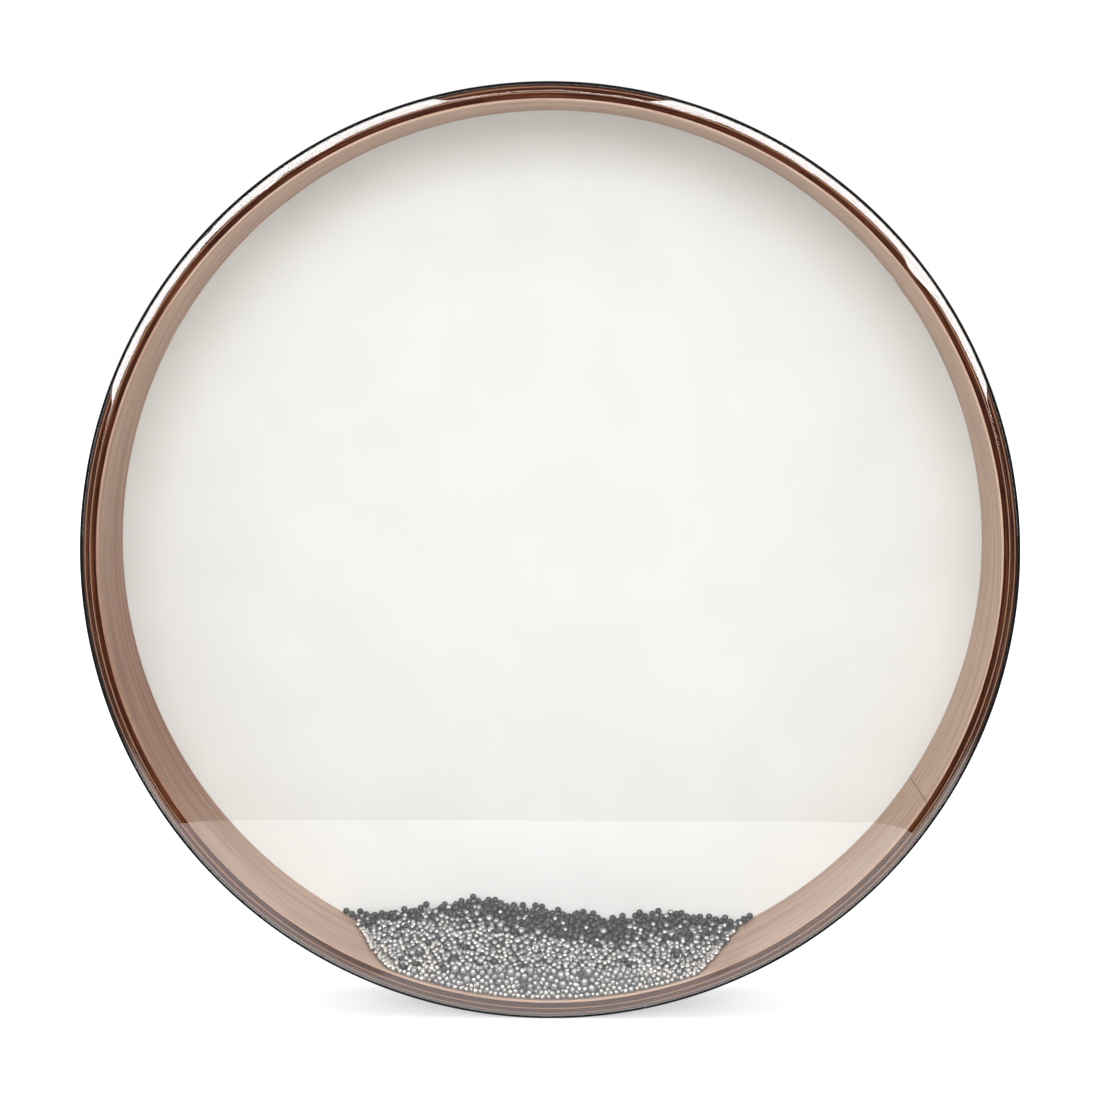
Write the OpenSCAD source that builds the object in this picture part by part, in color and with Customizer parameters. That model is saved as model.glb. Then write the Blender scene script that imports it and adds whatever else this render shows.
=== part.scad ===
// Ocean drum: a shallow bent-wood shell closed by two film heads, with loose steel beads inside.
// The drum stands upright. Its axis lies along Y and the clear head faces -Y.
// The origin is the middle of the drum, and lengths are in millimetres.

/* [Shell] */
// Radius inside the wooden shell
shell_inner_r = 194.9; // [150:0.1:260]
// Depth of the wooden shell, from its front edge to its back edge
shell_depth = 65; // [50:0.5:90]
// Thickness of the pale veneer that lines the shell
inner_ply_t = 0.9; // [0.6:0.1:1.5]
// Thickness of the stained ply round the lining
third_ply_t = 2.5; // [1.5:0.1:3.5]
// Thickness of the next stained ply
second_ply_t = 2.15; // [1.5:0.05:3.5]
// Thickness of the outermost ply
outer_ply_t = 1.25; // [0.8:0.05:2]
// Thickness of a glue line, between two plies and under the film and the band
glue_t = 0.1; // [0.05:0.01:0.2]
// Radius of the two rounded outer edges
edge_round_r = 3.2; // [2:0.1:3.4]
// Open width of the butt seam in the lining
lining_seam_w = 0.35; // [0.1:0.05:0.8]
// Open width of the butt seams in the stained plies
ply_seam_w = 0.2; // [0.1:0.05:0.6]

/* [Heads] */
// Thickness of the head film
film_t = 0.25; // [0.15:0.05:0.5]
// Width of film glued down the side, past the rounded edge
skirt_w = 10; // [6:0.5:14]

/* [Edge band] */
// Width of the black band round the side
band_w = 62; // [42:0.5:62]
// Thickness of the band where it lies on the film
band_t = 0.75; // [0.5:0.05:1.5]
// Open width of the band's butt seam
band_seam_w = 0.4; // [0.2:0.1:1]

/* [Beads] */
// Diameter of the small beads
small_d = 2.5; // [2:0.1:2.8]
// Diameter of the medium beads
medium_d = 3; // [2.8:0.1:3.4]
// Diameter of the large beads
large_d = 4; // [3.6:0.1:4.6]
// Least gap between two beads
bead_gap = 0.15; // [0.1:0.01:0.3]
// Gap between the beads and the shell or the heads
bead_clearance = 0.3; // [0.2:0.05:0.6]
// Share of large beads in the rows that hold them
large_share = 0.35; // [0:0.05:1]
// Share of small beads in the rows that hold them
small_share = 0.5; // [0:0.05:1]
// Share of dark beads among the medium ones near the clear head
front_dark_share = 0.1; // [0:0.05:1]
// Share of dark beads among the medium ones near the back head
back_dark_share = 0.95; // [0:0.05:1]
// Most that a bead on top stands proud of the heap
bead_lift = 0.6; // [0:0.1:1]

/* [Heap] */
// Height of the heap at the clear head, over the lowest point inside
front_heap_h = 13.4; // [9:0.1:18]
// Height of the heap at the back head, over the lowest point inside
back_heap_h = 26.4; // [16:0.1:32]
// Height of the mound near the back head
mound_h = 6; // [0:0.1:8]
// Half width of the mound
mound_w = 28; // [15:0.5:40]
// Place of the mound, right of the middle
mound_x = -33; // [-45:0.5:45]
// Rise of the heap towards the left, as a share of the distance
side_rise_share = 0.015; // [0:0.005:0.03]
// Width of the sheet of beads that runs up the head as a wave
wave_w = 100; // [60:1:120]
// Place of the middle of that sheet, right of the middle
wave_x = -4; // [-20:0.5:20]
// Rows of beads left in front of the wave
front_row_count = 4; // [2:1:6]
// Rows of beads left behind the wave
back_row_count = 4; // [1:1:6]
// Number that picks another mix of beads
bead_seed = 16; // [1:1:99]

/* [Hidden] */
// Node names: the beads by where they lie, then the pieces of the shell

full_turn = 360;
half_depth = shell_depth / 2;

// Radii of the plies, from the lining outwards
third_ply_r = shell_inner_r + inner_ply_t + glue_t;
second_ply_r = third_ply_r + third_ply_t + glue_t;
outer_ply_r = second_ply_r + second_ply_t + glue_t;
shell_outer_r = outer_ply_r + outer_ply_t;

// Offsets of the film's two faces from the wood, and the band's radii over the film
film_inner_off = glue_t;
film_outer_off = film_inner_off + film_t;
band_on_film_r = shell_outer_r + film_outer_off + glue_t;
band_on_wood_r = shell_outer_r + glue_t;
band_outer_r = band_on_film_r + band_t;

// Angles of the butt seams, anticlockwise from +X as the clear head is seen.
// They are staggered, so that no seam lies over another.
lining_seam_angle = -33;
third_seam_angle = 57;
second_seam_angle = 147;
outer_seam_angle = 237;
band_seam_angle = 282;

// The skirts end their width past the rounded edge, and the band's thicker middle fits between them
skirt_end_h = half_depth - edge_round_r - skirt_w;
band_step_h = skirt_end_h - glue_t;
half_band_w = band_w / 2;

wood_dark = "#4a2a1e";
wood_pale = "#c9a179";
film_clear = [0.86, 0.89, 0.92, 0.3];
film_cream = "#ece8dc";
band_black = "#0c0c0d";
bead_steel = "#b4b6b9";
bead_dark = "#4b4d50";

// The heap
lowest_z = -shell_inner_r;
small_r = small_d / 2;
medium_r = medium_d / 2;
large_r = large_d / 2;
first_row_y = -half_depth + bead_clearance + large_r;
rows_span = -2 * first_row_y;
least_row_pitch = large_r + medium_r + bead_gap;
row_gaps = floor(rows_span / least_row_pitch);
row_pitch = rows_span / row_gaps;
last_wave_row = row_gaps - back_row_count;
heap_top_z = lowest_z + back_heap_h + mound_h;
half_heap_w = sqrt(shell_inner_r * shell_inner_r - heap_top_z * heap_top_z);
row_places = ceil(2 * half_heap_w / (small_d + bead_gap));
face_layers = ceil(front_heap_h / (medium_d + bead_gap)) + 1;
seat_margin = large_d;

// The dark beads gather towards the back, between these shares of the way, and later at the sides
dark_from_share = 0.25;
dark_to_share = 0.7;
dark_side_share = 0.35;

bead_facets = 16;

// Half of the shell's outline with rounded outer corners, grown by an offset on every face.
// X is the radius, and Y runs along the axis towards the clear head.
module rounded_outline(grow) {
  r = shell_outer_r + grow;
  h = half_depth + grow;
  round_r = edge_round_r + grow;
  translate([0, -h])
    square([r - round_r, 2 * h]);
  translate([0, -h + round_r])
    square([r, 2 * (h - round_r)]);
  for (side = [-1, 1])
    translate([r - round_r, side * (h - round_r)])
      circle(r = round_r, $fn = 64);
}

// A ring bent round the drum's axis, with one open butt seam at an angle.
// Its outline is drawn as rounded_outline() is.
module bent_ring(seam_w, seam_a, r) {
  gap_a = full_turn * seam_w / (2 * PI * r);
  rotate([90, 0, 0])
    rotate([0, 0, seam_a + gap_a / 2])
      rotate_extrude(angle = full_turn - gap_a, $fn = 180)
        children();
}

// One ply: the part of the rounded shell between two radii
module ply(inner_r, thickness, seam_w, seam_a) {
  bent_ring(seam_w, seam_a, inner_r)
    intersection() {
      rounded_outline(0);
      translate([inner_r, -half_depth])
        square([thickness, shell_depth]);
    }
}

module outer_ply() {
  color(wood_dark)
    ply(outer_ply_r, outer_ply_t, ply_seam_w, outer_seam_angle);
}

module second_ply() {
  color(wood_dark)
    ply(second_ply_r, second_ply_t, ply_seam_w, second_seam_angle);
}

module third_ply() {
  color(wood_dark)
    ply(third_ply_r, third_ply_t, ply_seam_w, third_seam_angle);
}

module inner_ply() {
  color(wood_pale)
    ply(shell_inner_r, inner_ply_t, lining_seam_w, lining_seam_angle);
}

// A drawn film head: the flat disc, the rounded shoulder over the shell's edge and the glued skirt
module film_head() {
  rotate([90, 0, 0])
    rotate_extrude($fn = 180)
      intersection() {
        difference() {
          rounded_outline(film_outer_off);
          rounded_outline(film_inner_off);
        }
        translate([0, skirt_end_h])
          square([shell_outer_r + film_outer_off, half_depth + film_outer_off - skirt_end_h]);
      }
}

module front_head() {
  color(film_clear)
    film_head();
}

module back_head() {
  color(film_cream)
    mirror([0, 1, 0])
      film_head();
}

// The band lies on both skirts and reaches over the start of their rounding.
// Between them it is thicker and seats on the outermost ply.
module edge_band() {
  color(band_black)
    bent_ring(band_seam_w, band_seam_angle, band_outer_r) {
      translate([band_on_film_r, -half_band_w])
        square([band_t, band_w]);
      translate([band_on_wood_r, -band_step_h])
        square([band_outer_r - band_on_wood_r, 2 * band_step_h]);
    }
}

// Height of the heap's surface at a place
function share_back(y) = (y - first_row_y) / rows_span;
function mound_at(x, y) = mound_h * share_back(y) * exp(-pow((x - mound_x) / mound_w, 2));
function heap_z(x, y) =
  lowest_z + front_heap_h + (back_heap_h - front_heap_h) * share_back(y)
  - side_rise_share * x + mound_at(x, y);

// Share of dark beads at a place. On the heap's surface it rises smoothly on the way back.
function eased(share) = let (t = min(max(share, 0), 1)) t * t * (3 - 2 * t);
function dark_share(x, y, layer) =
  let (
    way = share_back(y) - dark_side_share * abs(x) / half_heap_w - dark_from_share,
    rise = layer == 0 ? eased(way / (dark_to_share - dark_from_share)) : 0
  )
    front_dark_share + (back_dark_share - front_dark_share) * rise;

// Rows take turns, over the heap and down through it: large and medium beads, then small and medium.
// Where the dark beads gather, the others are few.
function holds_large(row, layer) = (row + layer) % 2 == 0;
function bead_r(row, layer, pick) =
  let (bright_share = 1 - dark_share(0, first_row_y + row * row_pitch, layer))
    holds_large(row, layer)
      ? (pick < large_share * bright_share ? large_r : medium_r)
      : (pick < small_share * bright_share ? small_r : medium_r);

// Depth of a layer's top under the heap's surface
function row_d(row, layer) = (holds_large(row, layer) ? large_d : medium_d) + bead_gap;
function layer_depth(row, layer) = layer == 0 ? 0 : layer_depth(row, layer - 1) + row_d(row, layer - 1);

function in_shell(x, z, r) = norm([x, z]) + r <= shell_inner_r - bead_clearance;

// The beads of one row, side by side, as [x, y, z, radius, whether it is dark]
function row_seed(row, layer) = bead_seed + row + layer * (row_gaps + 1);
function bead_row(row, layer) =
  let (
    y = first_row_y + row * row_pitch,
    picks = rands(0, 1, row_places + 1, row_seed(row, layer)),
    lifts = rands(0, layer == 0 ? bead_lift : 0, row_places, row_seed(row, layer)),
    shades = rands(0, 1, 2 * row_places, row_seed(row, layer)),
    radii = [for (pick = picks) bead_r(row, layer, pick)],
    start = -half_heap_w + picks[0] * medium_d
  )
  [
    for (
      i = 0, x = start;
      i < row_places;
      x = x + radii[i] + radii[i + 1] + bead_gap, i = i + 1
    )
      let (z = heap_z(x, y) - layer_depth(row, layer) - radii[i] + lifts[i])
        if (in_shell(x, z, radii[i]))
          [x, y, z, radii[i], radii[i] == medium_r && shades[row_places + i] < dark_share(x, y, layer)]
  ];

function in_wave(x, row) =
  row >= front_row_count && row <= last_wave_row && abs(x - wave_x) <= wave_w / 2;

// The row that lies on the clear head, down to the shell
function front_beads() = [
  for (layer = [0 : face_layers])
    for (bead = bead_row(0, layer))
      bead
];

// The rest of the heap's surface, and the layer that the wave lies on
function bed_beads() = [
  for (row = [1 : row_gaps])
    for (bead = bead_row(row, 0))
      if (!in_wave(bead[0], row))
        bead,
  for (row = [front_row_count : last_wave_row])
    for (bead = bead_row(row, 1))
      if (abs(bead[0] - wave_x) <= wave_w / 2 + seat_margin)
        bead
];

// The sheet of beads that runs over the bed as a wave
function wave_beads() = [
  for (row = [front_row_count : last_wave_row])
    for (bead = bead_row(row, 0))
      if (in_wave(bead[0], row))
        bead
];

// The beads of one radius and one finish in a list
module beads(list, radius, dark = false) {
  color(dark ? bead_dark : bead_steel)
    for (bead = list)
      if (bead[3] == radius && bead[4] == dark)
        translate([bead[0], bead[1], bead[2]])
          sphere(r = radius, $fn = bead_facets);
}

module front_dark_beads() {
  beads(front_beads(), medium_r, dark = true);
}

module front_small_beads() {
  beads(front_beads(), small_r);
}

module front_medium_beads() {
  beads(front_beads(), medium_r);
}

module front_large_beads() {
  beads(front_beads(), large_r);
}

module bed_dark_beads() {
  beads(bed_beads(), medium_r, dark = true);
}

module bed_small_beads() {
  beads(bed_beads(), small_r);
}

module bed_medium_beads() {
  beads(bed_beads(), medium_r);
}

module bed_large_beads() {
  beads(bed_beads(), large_r);
}

module wave_dark_beads() {
  beads(wave_beads(), medium_r, dark = true);
}

module wave_small_beads() {
  beads(wave_beads(), small_r);
}

module wave_medium_beads() {
  beads(wave_beads(), medium_r);
}

module wave_large_beads() {
  beads(wave_beads(), large_r);
}

outer_ply();
second_ply();
third_ply();
inner_ply();
front_head();
back_head();
edge_band();
front_dark_beads();
front_small_beads();
front_medium_beads();
front_large_beads();
bed_dark_beads();
bed_small_beads();
bed_medium_beads();
bed_large_beads();
wave_dark_beads();
wave_small_beads();
wave_medium_beads();
wave_large_beads();
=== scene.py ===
"""Ocean drum: the finish of its bent-wood shell, film heads, edge band and loose steel beads.

The drum stands upright on its edge. Its axis lies along Y, the clear head faces -Y, and +Z is up.
"""

import math

import bmesh
import bpy
import numpy as np
from bpy.props import FloatProperty, FloatVectorProperty, IntProperty, PointerProperty
from bpy.types import Operator, Panel, PropertyGroup
from mathutils import Matrix, Vector


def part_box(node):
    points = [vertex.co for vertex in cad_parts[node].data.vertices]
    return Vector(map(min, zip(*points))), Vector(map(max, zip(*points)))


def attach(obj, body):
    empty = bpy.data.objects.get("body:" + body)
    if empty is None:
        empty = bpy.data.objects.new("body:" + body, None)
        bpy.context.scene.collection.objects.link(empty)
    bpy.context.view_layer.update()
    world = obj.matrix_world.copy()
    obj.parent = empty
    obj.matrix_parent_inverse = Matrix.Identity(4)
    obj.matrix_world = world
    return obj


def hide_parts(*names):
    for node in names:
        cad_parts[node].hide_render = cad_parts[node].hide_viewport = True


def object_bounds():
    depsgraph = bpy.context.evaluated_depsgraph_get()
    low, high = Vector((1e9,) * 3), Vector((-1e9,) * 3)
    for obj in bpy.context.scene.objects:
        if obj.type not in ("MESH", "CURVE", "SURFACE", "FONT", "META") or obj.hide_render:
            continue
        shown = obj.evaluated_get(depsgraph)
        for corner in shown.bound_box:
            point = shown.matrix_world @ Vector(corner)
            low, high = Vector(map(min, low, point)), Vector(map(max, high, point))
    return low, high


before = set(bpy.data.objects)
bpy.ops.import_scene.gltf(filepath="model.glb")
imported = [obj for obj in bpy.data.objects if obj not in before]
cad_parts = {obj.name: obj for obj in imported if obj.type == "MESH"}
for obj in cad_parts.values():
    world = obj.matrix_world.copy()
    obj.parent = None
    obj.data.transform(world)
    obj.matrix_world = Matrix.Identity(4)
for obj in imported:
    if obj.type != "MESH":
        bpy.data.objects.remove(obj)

bl_info = {
    "name": "Ocean drum",
    "version": (1, 0, 0),
    "blender": (4, 5, 0),
    "location": "3D View > Sidebar > Ocean drum",
    "description": "Builds the shell, heads, band and beads of an ocean drum",
    "category": "Object",
}

MM = 0.001
# Points closer together than this are at one place
SAME_PLACE = 0.01 * MM
# Faces that meet at more than this show an edge between them
SHARP_EDGE = math.radians(38)
# Radius of a faceted ball as a share of its bead's diameter, over half to make up for its flat faces
BALL_SHARE = 0.51
CAD_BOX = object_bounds()


def linear(code):
    """The linear colour of an sRGB hex code, such as #c9a179."""
    shares = [int(code[i : i + 2], 16) / 255 for i in (1, 3, 5)]
    return tuple(s / 12.92 if s <= 0.04045 else ((s + 0.055) / 1.055) ** 2.4 for s in shares)


def ring_of(node):
    """Inner radius, outer radius and half depth of a CAD ring, in metres."""
    points = [v.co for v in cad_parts[node].data.vertices]
    radii = [math.hypot(p.x, p.z) for p in points]
    return min(radii), max(radii), max(abs(p.y) for p in points)


def round_of(node, half_depth):
    """Radius of the rounded edges of a CAD ring, from how far its outermost face stops short of the edge."""
    outer = ring_of(node)[1]
    points = [v.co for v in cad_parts[node].data.vertices]
    return half_depth - max(abs(p.y) for p in points if math.hypot(p.x, p.z) > outer - SAME_PLACE)


LINING = ring_of("inner_ply")
THIRD = ring_of("third_ply")
SECOND = ring_of("second_ply")
OUTER = ring_of("outer_ply")
HEAD = ring_of("front_head")
BAND = ring_of("edge_band")
HALF_DEPTH = LINING[2]
EDGE_ROUND = round_of("outer_ply", HALF_DEPTH)
SKIRT_END = -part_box("front_head")[1].y


def length_setting(name, description, default):
    """A property for a length in metres."""
    return FloatProperty(name=name, description=description, default=default, unit="LENGTH")


def angle_setting(name, description, degrees):
    """A property for an angle, from its default in degrees."""
    return FloatProperty(name=name, description=description, default=math.radians(degrees), subtype="ANGLE")


def colour_setting(name, description, code):
    """A property for a colour, from its default as an sRGB hex code."""
    return FloatVectorProperty(name=name, description=description, default=linear(code), subtype="COLOR")


def size_setting(name, description, default):
    """A property for a width and a height in metres."""
    return FloatVectorProperty(name=name, description=description, default=default, size=2, unit="LENGTH")


def level_setting(name, description, default):
    """A property for a brightness."""
    return FloatProperty(name=name, description=description, default=default)


class ShellSettings(PropertyGroup):
    """The wooden shell, its two film heads and the band round it"""

    ring_steps: IntProperty(name="Ring steps", description="Faces round a ring", default=720, min=90)
    lining_seam: length_setting("Lining seam", "Open width of the lining's butt seam", 0.35 * MM)
    ply_seam: length_setting("Ply seam", "Open width of the stained plies' butt seams", 0.2 * MM)
    glue_seam: length_setting("Glue seam", "Open width of the seam in a glue line", 0.02 * MM)
    seam_place: angle_setting("Seam place", "Where the lining's seam lies, round from the right", -33)
    seam_turn: angle_setting("Seam turn", "How far a ply's seam lies from that of the ply inside it", 90)
    film: length_setting("Film", "Thickness of the heads", 0.25 * MM)
    bevel: angle_setting("Film bevel", "Slope of the film over the shell's edge", 27)
    bevel_wave: angle_setting("Bevel wave", "How far that slope wanders round the drum", 3.5)
    pucker: length_setting("Pucker", "How far the bevel reaches in at the film's largest pucker", 1.5 * MM)
    band_gap: length_setting("Band gap", "Gap between the film's skirts and the band", 0.03 * MM)
    band_ease: length_setting("Band ease", "How far the band's outer edges are taken off", 0.1 * MM)
    band_seam: length_setting("Band seam", "Open width of the band's butt seam", 0.12 * MM)
    band_seam_place: angle_setting("Band seam place", "Where that seam lies, round from the right", 282)
    stain_dark: colour_setting("Stain, dark", "Darkest grain of the stained plies", "#200a03")
    stain_red: colour_setting("Stain, red", "Main tone of the stained plies", "#471d0c")
    stain_light: colour_setting("Stain, light", "Lightest grain of the stained plies", "#693921")
    glue: colour_setting("Glue line", "Pale wood soaked with glue", "#b08a6c")
    veneer_pale: colour_setting("Veneer, pale", "Light end of the lining's strip", "#ceaf98")
    veneer_brown: colour_setting("Veneer, brown", "Brown part of the lining's strip", "#8a5a3e")
    coating: colour_setting("Coating", "The back head's coating", "#e6e8e5")
    band: colour_setting("Band", "The edge band", "#050506")


class BeadSettings(PropertyGroup):
    """The loose beads and the heap that they lie in"""

    small: length_setting("Small bead", "Diameter", 2.4 * MM)
    medium: length_setting("Medium bead", "Diameter", 3 * MM)
    large: length_setting("Large bead", "Diameter", 4 * MM)
    front_height: length_setting("Front height", "Height of the heap at the clear head", 13.6 * MM)
    back_height: length_setting("Back height", "Height of the heap at the back head", 25.4 * MM)
    back_stack: length_setting("Back stack", "How much higher the beads at the back head stand", 2.2 * MM)
    kept_depth: length_setting("Kept depth", "Depth of the heap that is kept under its surface", 9 * MM)
    seed: IntProperty(name="Seed", description="Picks another heap", default=7, min=0)
    steel: colour_setting("Steel", "Polished beads", "#959698")
    # Small beads get a paler tint; its faint warmth is a painted reflection of the wood lining
    pale_small_tint: colour_setting("Pale small steel", "Small beads, paler and faintly warm", "#bdbbb7")
    dark_steel: colour_setting("Dark steel", "Blackened beads", "#434447")


class StudioSettings(PropertyGroup):
    """The camera, the lamps and the table"""

    camera_place: FloatVectorProperty(
        name="Camera", description="Where the camera stands", subtype="TRANSLATION",
        default=(0.0216, -1.2825, 0.111),
    )
    lens: FloatProperty(name="Lens", description="Focal length in millimetres", default=95.2)
    side_distance: length_setting("Side distance", "From the drum's middle to a side softbox", 1.3)
    side_angle: angle_setting("Side angle", "How far off the drum's axis a side softbox hangs", 54)
    side_size: size_setting("Side size", "Width and height of a side softbox", (1.3, 0.75))
    side_level: level_setting("Side level", "Brightness of a side softbox, seen in reflections only", 7.5)
    key_distance: length_setting("Key distance", "From the drum's middle to the upper softbox", 4.0)
    key_angle: angle_setting("Key angle", "How far above the drum's axis that softbox hangs", 17.5)
    key_size: size_setting("Key size", "Width and height of that softbox", (2.73, 1.41))
    key_level: level_setting("Key level", "Brightness of that softbox", 6.7)
    back_level: level_setting("Back level", "Brightness of a like softbox behind the drum", 3.6)
    fill: level_setting("Fill", "Soft light from all round", 0.76)
    table_lift: level_setting("Table lift", "Light that the camera sees besides the table's shading", 0.55)
    mirrored_table: level_setting("Mirrored table", "Brightness of the table in reflections", 1.35)
    # Painted shade: the table is dimmed in reflections where the clear head mirrors it over the beads
    dimmed_table: level_setting("Dimmed table", "The same in the part that lies over the beads", 0.75)
    table_front: length_setting("Table front", "Where the table's front edge lies along Y", -0.519)


def add(tree, kind, settings=None, links=None):
    """Adds a node, sets its properties, and gives each input a value or a link."""
    node = tree.nodes.new(kind)
    for name, value in (settings or {}).items():
        setattr(node, name, value)
    for name, value in (links or {}).items():
        if isinstance(value, bpy.types.NodeSocket):
            tree.links.new(value, node.inputs[name])
        else:
            node.inputs[name].default_value = value
    return node


def new_material(name):
    """An empty material with nodes."""
    material = bpy.data.materials.new(name)
    material.use_nodes = True
    material.node_tree.nodes.clear()
    return material, material.node_tree


def colour(value):
    """A colour with full alpha."""
    return (*value, 1)


def streaks(tree, along, across, detail=3):
    """Noise that runs along a ring: streaks of a length and a width, on the ring's UV map in metres."""
    place = add(tree, "ShaderNodeTexCoord").outputs["UV"]
    scale = (1 / along, 1 / across, 1)
    stretched = add(tree, "ShaderNodeMapping", {}, {"Vector": place, "Scale": scale}).outputs[0]
    links = {"Vector": stretched, "Scale": 1, "Detail": detail}
    return add(tree, "ShaderNodeTexNoise", {}, links).outputs["Fac"]


def speckle(tree, size, detail):
    """Noise in patches of a size, on the piece's own coordinates."""
    place = add(tree, "ShaderNodeTexCoord").outputs["Object"]
    links = {"Vector": place, "Scale": 1 / size, "Detail": detail}
    return add(tree, "ShaderNodeTexNoise", {}, links).outputs["Fac"]


def remap(tree, value, low, high, to_low=0.0, to_high=1.0):
    """A value moved from one range to another, and held there."""
    links = {"Value": value, "From Min": low, "From Max": high, "To Min": to_low, "To Max": to_high}
    return add(tree, "ShaderNodeMapRange", {"interpolation_type": "SMOOTHSTEP"}, links).outputs[0]


def mathed(tree, operation, *values):
    """The result of a sum on values or sockets."""
    return add(tree, "ShaderNodeMath", {"operation": operation}, dict(enumerate(values))).outputs[0]


MIX_A, MIX_B, MIX_RESULT = 6, 7, 2


def mixed(tree, share, first, second):
    """Two colours mixed."""
    first, second = (c if isinstance(c, bpy.types.NodeSocket) else colour(c) for c in (first, second))
    links = {"Factor": share, MIX_A: first, MIX_B: second}
    return add(tree, "ShaderNodeMix", {"data_type": "RGBA"}, links).outputs[MIX_RESULT]


def bump(tree, height, depth):
    """A normal from a height between 0 and 1, for a relief of a depth in metres."""
    return add(tree, "ShaderNodeBump", {}, {"Height": height, "Strength": 1.0, "Distance": depth}).outputs[0]


def surface(tree, links):
    """A Principled shader at the material's output."""
    shader = add(tree, "ShaderNodeBsdfPrincipled", {}, links)
    add(tree, "ShaderNodeOutputMaterial", {}, {"Surface": shader.outputs[0]})


def axis_distance(tree):
    """Distance of a point from the drum's axis."""
    place = add(tree, "ShaderNodeTexCoord")
    flat = add(
        tree, "ShaderNodeVectorMath", {"operation": "MULTIPLY"}, {0: place.outputs["Object"], 1: (1, 0, 1)}
    )
    return add(tree, "ShaderNodeVectorMath", {"operation": "LENGTH"}, {0: flat.outputs[0]}).outputs["Value"]


def stained_plywood(shell):
    """Birch plywood with a walnut stain that took the gloss off it. The bent plies show long grain on their
    edges, in streaks a few tenths of a millimetre wide, with a pale border where glue kept the stain out."""
    material, tree = new_material("Walnut-stained birch plywood")
    fine = streaks(tree, along=16 * MM, across=0.35 * MM, detail=4)
    broad = streaks(tree, along=60 * MM, across=1.4 * MM)
    dark = mixed(tree, remap(tree, fine, 0.35, 0.62), shell.stain_dark, shell.stain_red)
    toned = mixed(tree, remap(tree, broad, 0.45, 0.72), dark, shell.stain_light)
    radius = axis_distance(tree)
    glue_core, glue_edge, glue_share = 0.12 * MM, 0.34 * MM, 0.75
    pale = 0.0
    for inner, outer in ((THIRD, SECOND), (SECOND, OUTER)):
        away = mathed(tree, "ABSOLUTE", mathed(tree, "SUBTRACT", radius, (inner[1] + outer[0]) / 2))
        pale = mathed(tree, "MAXIMUM", remap(tree, away, glue_core, glue_edge, glue_share, 0.0), pale)
    base = mixed(tree, pale, toned, shell.glue)
    surface(tree, {
        "Base Color": base,
        "Roughness": 0.6,
        "Specular IOR Level": 0.06,
        "Normal": bump(tree, fine, 0.03 * MM),
    })
    return material


def lining_veneer(shell):
    """Unstained birch veneer, sanded fine. Its grain runs round the ring in close hair lines,
    and the strip goes from pale to brown and back along its length."""
    material, tree = new_material("Fine-sanded birch veneer")
    hair = streaks(tree, along=25 * MM, across=0.5 * MM, detail=4)
    figure = streaks(tree, along=90 * MM, across=7 * MM, detail=2)
    place = add(tree, "ShaderNodeTexCoord")
    along = add(tree, "ShaderNodeSeparateXYZ", {}, {0: place.outputs["UV"]}).outputs[0]
    # Degrees round from the right between which the strip turns brown, and those where it turns pale
    browning, paling = ([math.radians(a) * LINING[1] for a in span] for span in ((130, 205), (206, 236)))
    browner = remap(tree, along, *browning, 0.0, 0.7)
    paler = remap(tree, along, *paling, 1.0, 0.2)
    brown = mathed(tree, "MULTIPLY", browner, paler)
    share = mathed(tree, "ADD", brown, remap(tree, figure, 0.35, 0.7, 0.0, 0.35))
    toned = mixed(tree, share, shell.veneer_pale, shell.veneer_brown)
    lined = mixed(tree, remap(tree, hair, 0.42, 0.68, 0.0, 0.42), toned, shell.veneer_brown)
    surface(tree, {"Base Color": lined, "Roughness": 0.5, "Normal": bump(tree, hair, 0.02 * MM)})
    return material


def glue_line(shell):
    """Hardened wood glue at the edge of a joint, a little glossier than the plies beside it."""
    material, tree = new_material("Hardened wood glue")
    spots = streaks(tree, along=8 * MM, across=0.2 * MM)
    base = mixed(tree, remap(tree, spots, 0.4, 0.7), shell.glue, shell.stain_light)
    surface(tree, {"Base Color": base, "Roughness": 0.3})
    return material


def clear_film():
    """Clear drawn polyester film, a quarter of a millimetre thick, glossy on both faces.
    Lamps and soft light reach what is behind it unbent."""
    material, tree = new_material("Clear drawn polyester film")
    film = add(tree, "ShaderNodeBsdfPrincipled", {}, {
        "Base Color": colour((1, 1, 1)),
        "Roughness": 0.0,
        "IOR": 1.64,
        "Transmission Weight": 1.0,
    })
    opening = add(tree, "ShaderNodeBsdfTransparent")
    path = add(tree, "ShaderNodeLightPath")
    lit = add(
        tree, "ShaderNodeMixShader", {},
        {0: path.outputs["Is Shadow Ray"], 1: film.outputs[0], 2: opening.outputs[0]},
    )
    soft = add(
        tree, "ShaderNodeMixShader", {},
        {0: path.outputs["Is Diffuse Ray"], 1: lit.outputs[0], 2: opening.outputs[0]},
    )
    add(tree, "ShaderNodeOutputMaterial", {}, {"Surface": soft.outputs[0]})
    return material


def coated_film(shell):
    """Polyester film with a sprayed cream coating: faintly mottled, with a fine dry grain. Light spreads
    inside it and shines through, which evens out the shade beside the shell."""
    material, tree = new_material("Sprayed cream coating on film")
    cloud = speckle(tree, size=40 * MM, detail=3)
    grain = speckle(tree, size=0.9 * MM, detail=2)
    cloud_tone, light_spread = 0.965, 2.2
    shaded = tuple(cloud_tone * c for c in shell.coating)
    base = mixed(tree, remap(tree, cloud, 0.3, 0.7), shell.coating, shaded)
    surface(tree, {
        "Base Color": base,
        "Roughness": 0.55,
        "Subsurface Weight": 1.0,
        "Subsurface Radius": (1, 1, 1),
        "Subsurface Scale": light_spread * shell.film,
        "Normal": bump(tree, grain, depth=0.02 * MM),
    })
    return material


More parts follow.
